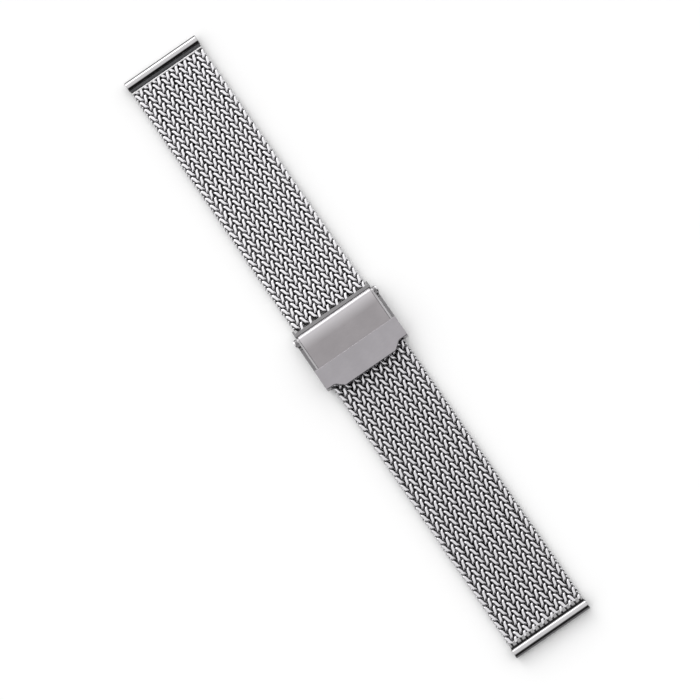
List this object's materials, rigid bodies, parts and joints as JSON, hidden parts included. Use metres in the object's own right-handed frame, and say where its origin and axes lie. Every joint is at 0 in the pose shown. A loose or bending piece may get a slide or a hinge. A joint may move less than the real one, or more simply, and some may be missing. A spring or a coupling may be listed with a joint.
{
  "type": "milanese mesh watch band",
  "caption": "Woven steel mesh watch band lying flat, with bored end tubes and a sliding clasp with a hinged cover, a fold-over safety flap and a lock lever.",
  "frame": {"origin": "on the surface that the band lies on, below the middle of its length and width", "axes": "+Y along the band towards the strap that hooks into the clasp, +Z out of the wrist side towards the clasp cover, +X across the band"},
  "size_m": [0.0234, 0.1632, 0.0041],
  "materials": {
    "mesh_wire": "bright drawn wire",
    "rod_wire": "drawn wire",
    "tube_polished": "polished",
    "clasp_satin": "satin",
    "pin_steel": "turned",
    "solder_grey": "ground solder"
  },
  "bodies": {
    "clasp_base": {"base_channel": "clasp_satin", "hinge_pin": "pin_steel", "lever_pin": "pin_steel", "snap_studs": "pin_steel"},
    "cover": {"cover": "clasp_satin"},
    "safety_flap": {"safety_flap": "clasp_satin"},
    "lock_lever": {"lock_lever": "clasp_satin"},
    "strap_a_hook": {"hook_plate": "clasp_satin", "mesh_a_01": "mesh_wire"},
    "strap_b_tail": {"tail_bar": "solder_grey", "mesh_b_01": "mesh_wire"},
    "link_a_02": {"mesh_a_02": "mesh_wire", "cross_rod_a_01": "rod_wire"},
    "link_a_03": {"mesh_a_03": "mesh_wire", "cross_rod_a_02": "rod_wire"},
    "link_a_04": {"mesh_a_04": "mesh_wire", "cross_rod_a_03": "rod_wire"},
    "link_a_05": {"mesh_a_05": "mesh_wire", "cross_rod_a_04": "rod_wire"},
    "link_a_06": {"mesh_a_06": "mesh_wire", "cross_rod_a_05": "rod_wire"},
    "link_a_07": {"mesh_a_07": "mesh_wire", "cross_rod_a_06": "rod_wire"},
    "link_a_08": {"mesh_a_08": "mesh_wire", "cross_rod_a_07": "rod_wire"},
    "link_a_09": {"mesh_a_09": "mesh_wire", "cross_rod_a_08": "rod_wire"},
    "link_a_10": {"mesh_a_10": "mesh_wire", "cross_rod_a_09": "rod_wire"},
    "link_a_11": {"mesh_a_11": "mesh_wire", "cross_rod_a_10": "rod_wire"},
    "link_a_12": {"mesh_a_12": "mesh_wire", "cross_rod_a_11": "rod_wire", "solder_seam_a": "solder_grey", "end_tube_a": "tube_polished"},
    "link_b_02": {"mesh_b_02": "mesh_wire", "cross_rod_b_01": "rod_wire"},
    "link_b_03": {"mesh_b_03": "mesh_wire", "cross_rod_b_02": "rod_wire"},
    "link_b_04": {"mesh_b_04": "mesh_wire", "cross_rod_b_03": "rod_wire"},
    "link_b_05": {"mesh_b_05": "mesh_wire", "cross_rod_b_04": "rod_wire"},
    "link_b_06": {"mesh_b_06": "mesh_wire", "cross_rod_b_05": "rod_wire"},
    "link_b_07": {"mesh_b_07": "mesh_wire", "cross_rod_b_06": "rod_wire"},
    "link_b_08": {"mesh_b_08": "mesh_wire", "cross_rod_b_07": "rod_wire"},
    "link_b_09": {"mesh_b_09": "mesh_wire", "cross_rod_b_08": "rod_wire"},
    "link_b_10": {"mesh_b_10": "mesh_wire", "cross_rod_b_09": "rod_wire"},
    "link_b_11": {"mesh_b_11": "mesh_wire", "cross_rod_b_10": "rod_wire", "solder_seam_b": "solder_grey", "end_tube_b": "tube_polished"}
  },
  "joints": [
    {"name": "cover_hinge", "type": "hinge", "parent": "clasp_base", "child": "cover", "pos_m": [0, 0.00645, 0.0024], "axis": [-1, 0, 0], "range_deg": [0, 75]},
    {"name": "safety_flap_hinge", "type": "hinge", "parent": "cover", "child": "safety_flap", "pos_m": [0, 0.00645, 0.0024], "axis": [-1, 0, 0], "range_deg": [0, 85]},
    {"name": "lock_lever_hinge", "type": "hinge", "parent": "clasp_base", "child": "lock_lever", "pos_m": [0, 0.00445, 0.00045], "axis": [1, 0, 0], "range_deg": [0, 70]},
    {"name": "strap_a_hook_hinge", "type": "hinge", "parent": "clasp_base", "child": "strap_a_hook", "pos_m": [0, 0.00645, 0.0024], "axis": [-1, 0, 0], "range_deg": [-6, 10]},
    {"name": "strap_b_slide", "type": "slide", "parent": "clasp_base", "child": "strap_b_tail", "axis": [0, 1, 0], "range_m": [-0.003, 0.0035]},
    {"name": "mesh_hinge_a_01", "type": "hinge", "parent": "strap_a_hook", "child": "link_a_02", "pos_m": [0, 0.0126, 0.00125], "axis": [-1, 0, 0], "range_deg": [-10, 17]},
    {"name": "mesh_hinge_a_02", "type": "hinge", "parent": "link_a_02", "child": "link_a_03", "pos_m": [0, 0.0186, 0.00125], "axis": [-1, 0, 0], "range_deg": [-10, 17]},
    {"name": "mesh_hinge_a_03", "type": "hinge", "parent": "link_a_03", "child": "link_a_04", "pos_m": [0, 0.0246, 0.00125], "axis": [-1, 0, 0], "range_deg": [-10, 17]},
    {"name": "mesh_hinge_a_04", "type": "hinge", "parent": "link_a_04", "child": "link_a_05", "pos_m": [0, 0.0306, 0.00125], "axis": [-1, 0, 0], "range_deg": [-10, 17]},
    {"name": "mesh_hinge_a_05", "type": "hinge", "parent": "link_a_05", "child": "link_a_06", "pos_m": [0, 0.0366, 0.00125], "axis": [-1, 0, 0], "range_deg": [-10, 17]},
    {"name": "mesh_hinge_a_06", "type": "hinge", "parent": "link_a_06", "child": "link_a_07", "pos_m": [0, 0.0426, 0.00125], "axis": [-1, 0, 0], "range_deg": [-10, 17]},
    {"name": "mesh_hinge_a_07", "type": "hinge", "parent": "link_a_07", "child": "link_a_08", "pos_m": [0, 0.0486, 0.00125], "axis": [-1, 0, 0], "range_deg": [-10, 17]},
    {"name": "mesh_hinge_a_08", "type": "hinge", "parent": "link_a_08", "child": "link_a_09", "pos_m": [0, 0.0546, 0.00125], "axis": [-1, 0, 0], "range_deg": [-10, 17]},
    {"name": "mesh_hinge_a_09", "type": "hinge", "parent": "link_a_09", "child": "link_a_10", "pos_m": [0, 0.0606, 0.00125], "axis": [-1, 0, 0], "range_deg": [-10, 17]},
    {"name": "mesh_hinge_a_10", "type": "hinge", "parent": "link_a_10", "child": "link_a_11", "pos_m": [0, 0.0666, 0.00125], "axis": [-1, 0, 0], "range_deg": [-10, 17]},
    {"name": "mesh_hinge_a_11", "type": "hinge", "parent": "link_a_11", "child": "link_a_12", "pos_m": [0, 0.0726, 0.00125], "axis": [-1, 0, 0], "range_deg": [-10, 17]},
    {"name": "mesh_hinge_b_01", "type": "hinge", "parent": "strap_b_tail", "child": "link_b_02", "pos_m": [0, -0.0129, 0.00125], "axis": [1, 0, 0], "range_deg": [-10, 17]},
    {"name": "mesh_hinge_b_02", "type": "hinge", "parent": "link_b_02", "child": "link_b_03", "pos_m": [0, -0.0192, 0.00125], "axis": [1, 0, 0], "range_deg": [-10, 17]},
    {"name": "mesh_hinge_b_03", "type": "hinge", "parent": "link_b_03", "child": "link_b_04", "pos_m": [0, -0.0255, 0.00125], "axis": [1, 0, 0], "range_deg": [-10, 17]},
    {"name": "mesh_hinge_b_04", "type": "hinge", "parent": "link_b_04", "child": "link_b_05", "pos_m": [0, -0.0318, 0.00125], "axis": [1, 0, 0], "range_deg": [-10, 17]},
    {"name": "mesh_hinge_b_05", "type": "hinge", "parent": "link_b_05", "child": "link_b_06", "pos_m": [0, -0.0381, 0.00125], "axis": [1, 0, 0], "range_deg": [-10, 17]},
    {"name": "mesh_hinge_b_06", "type": "hinge", "parent": "link_b_06", "child": "link_b_07", "pos_m": [0, -0.0444, 0.00125], "axis": [1, 0, 0], "range_deg": [-10, 17]},
    {"name": "mesh_hinge_b_07", "type": "hinge", "parent": "link_b_07", "child": "link_b_08", "pos_m": [0, -0.0507, 0.00125], "axis": [1, 0, 0], "range_deg": [-10, 17]},
    {"name": "mesh_hinge_b_08", "type": "hinge", "parent": "link_b_08", "child": "link_b_09", "pos_m": [0, -0.057, 0.00125], "axis": [1, 0, 0], "range_deg": [-10, 17]},
    {"name": "mesh_hinge_b_09", "type": "hinge", "parent": "link_b_09", "child": "link_b_10", "pos_m": [0, -0.0633, 0.00125], "axis": [1, 0, 0], "range_deg": [-10, 17]},
    {"name": "mesh_hinge_b_10", "type": "hinge", "parent": "link_b_10", "child": "link_b_11", "pos_m": [0, -0.0696, 0.00125], "axis": [1, 0, 0], "range_deg": [-10, 17]}
  ]
}
